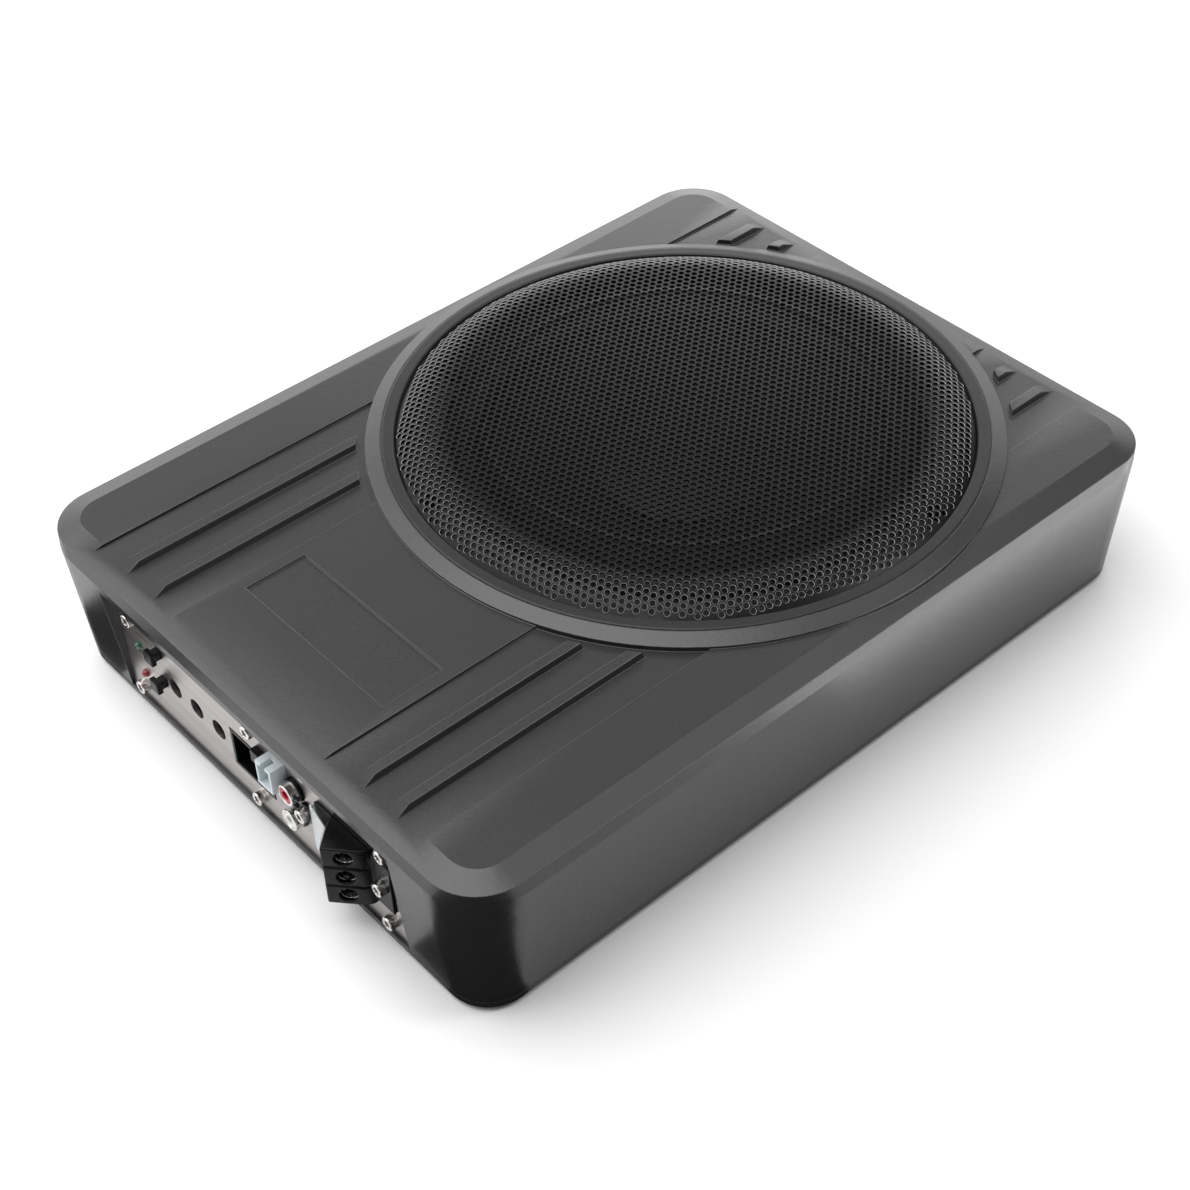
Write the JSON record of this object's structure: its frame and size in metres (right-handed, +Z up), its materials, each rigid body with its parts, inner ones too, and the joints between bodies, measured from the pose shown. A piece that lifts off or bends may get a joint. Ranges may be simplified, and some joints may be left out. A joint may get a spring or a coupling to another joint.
{
  "type": "powered car subwoofer",
  "caption": "Slim powered under-seat car subwoofer: tapered grey metal case, round domed mesh grille, raised ribs and a recessed end panel with controls, sockets and a power terminal.",
  "frame": {"origin": "centre of the overall footprint, on the plane the rubber feet stand on", "axes": "+Z up; the connector panel is on the -X end, the driver and its round grille towards +X, +Y across the width"},
  "size_m": [0.337, 0.25, 0.074],
  "materials": {
    "housing_coat": "fine textured satin powder coat, dark grey",
    "ring_coat": "satin powder coat",
    "base_coat": "satin powder coat",
    "basket_coat": "black paint",
    "black_steel": "semi-gloss black coat",
    "gasket_foam": "closed-cell foam",
    "rubber": "matte",
    "brass": "plain",
    "zinc_steel": "zinc plated",
    "cone_paper": "pressed paper, black",
    "dust_cap_plastic": "matte",
    "spider_cloth": "resin-treated cloth",
    "former_film": "amber film",
    "copper": "enamelled copper wire",
    "ferrite": "sintered ferrite",
    "black_plastic": "moulded, fine texture",
    "matte_black_plastic": "moulded, matte",
    "panel_aluminium": "brushed lengthwise",
    "bare_aluminium": "mill finish",
    "black_nickel": "black nickel plate",
    "clear_plastic": "clear moulded plastic",
    "pot_metal": "tin plate",
    "green_lens": "tinted epoxy",
    "red_lens": "tinted epoxy",
    "bright_plate": "nickel plate",
    "white_plastic": "moulded",
    "red_plastic": "moulded",
    "natural_nylon": "natural nylon",
    "circuit_laminate": "solder-masked laminate",
    "capacitor_sleeve": "shrink sleeve",
    "choke_wire": "enamelled copper winding",
    "wire_insulation": "PVC"
  },
  "bodies": {
    "enclosure": {"top_housing": "housing_coat", "base_plate": "base_coat", "base_gasket": "gasket_foam", "base_screws": "black_steel", "rubber_feet": "rubber", "bracket_nuts": "brass", "grille": "black_steel", "grille_retainer_ring": "ring_coat", "basket": "basket_coat", "driver_gasket": "gasket_foam", "driver_screws": "black_steel", "surround": "rubber", "spider": "spider_cloth", "motor_top_plate": "zinc_steel", "magnet": "ferrite", "t_yoke": "zinc_steel", "driver_terminal_strip": "black_plastic", "driver_tags": "brass", "panel_plate": "panel_aluminium", "panel_screws": "black_nickel", "panel_blocks": "bare_aluminium", "power_terminal_body": "black_plastic", "terminal_clamps": "bright_plate", "terminal_screws": "black_nickel", "terminal_cover": "clear_plastic", "potentiometers": "pot_metal", "button_switches": "black_plastic", "power_led": "green_lens", "protect_led": "red_lens", "rca_block": "black_plastic", "rca_shells": "bright_plate", "rca_insert_white": "white_plastic", "rca_insert_red": "red_plastic", "speaker_socket": "black_plastic", "remote_socket": "natural_nylon", "socket_pins": "brass", "circuit_board": "circuit_laminate", "control_board": "circuit_laminate", "board_link": "black_plastic", "standoffs": "zinc_steel", "board_screws": "zinc_steel", "filter_capacitors": "capacitor_sleeve", "choke": "choke_wire", "power_transistors": "black_plastic", "heat_spreader": "bare_aluminium", "transistor_clamp": "bare_aluminium", "signal_chips": "black_plastic", "speaker_wires": "wire_insulation"},
    "cone_assembly": {"cone": "cone_paper", "dust_cap": "dust_cap_plastic", "voice_coil_former": "former_film", "voice_coil": "copper"},
    "clamp_screw_1": {"clamp_screw_1": "zinc_steel"},
    "clamp_screw_2": {"clamp_screw_2": "zinc_steel"},
    "clamp_screw_3": {"clamp_screw_3": "zinc_steel"},
    "level_dial": {"level_dial": "matte_black_plastic"},
    "crossover_dial": {"crossover_dial": "matte_black_plastic"},
    "bass_boost_dial": {"bass_boost_dial": "matte_black_plastic"},
    "phase_button": {"phase_button": "black_plastic"},
    "auto_on_button": {"auto_on_button": "black_plastic"}
  },
  "joints": [
    {"name": "cone_stroke", "type": "slide", "parent": "enclosure", "child": "cone_assembly", "axis": [0, 0, 1], "range_m": [-0.006, 0.006], "stiffness_N_per_m": 4000, "deforming": ["surround", "spider"]},
    {"name": "level_turn", "type": "hinge", "parent": "enclosure", "child": "level_dial", "pos_m": [-0.1557, 0.0509, 0.026], "axis": [-1, 0, 0], "range_deg": [-140, 140]},
    {"name": "crossover_turn", "type": "hinge", "parent": "enclosure", "child": "crossover_dial", "pos_m": [-0.1557, 0.0372, 0.026], "axis": [-1, 0, 0], "range_deg": [-140, 140]},
    {"name": "bass_boost_turn", "type": "hinge", "parent": "enclosure", "child": "bass_boost_dial", "pos_m": [-0.1557, 0.0235, 0.026], "axis": [-1, 0, 0], "range_deg": [-140, 140]},
    {"name": "phase_press", "type": "slide", "parent": "enclosure", "child": "phase_button", "axis": [1, 0, 0], "range_m": [0, 0.002], "stiffness_N_per_m": 600},
    {"name": "auto_on_press", "type": "slide", "parent": "enclosure", "child": "auto_on_button", "axis": [1, 0, 0], "range_m": [0, 0.002], "stiffness_N_per_m": 600},
    {"name": "clamp_1_close", "type": "slide", "parent": "enclosure", "child": "clamp_screw_1", "axis": [0.6569, -0.754, 0], "range_m": [0, 0.003]},
    {"name": "clamp_2_close", "type": "slide", "parent": "enclosure", "child": "clamp_screw_2", "axis": [0.6569, -0.754, 0], "range_m": [0, 0.003]},
    {"name": "clamp_3_close", "type": "slide", "parent": "enclosure", "child": "clamp_screw_3", "axis": [0.6569, -0.754, 0], "range_m": [0, 0.003]}
  ]
}
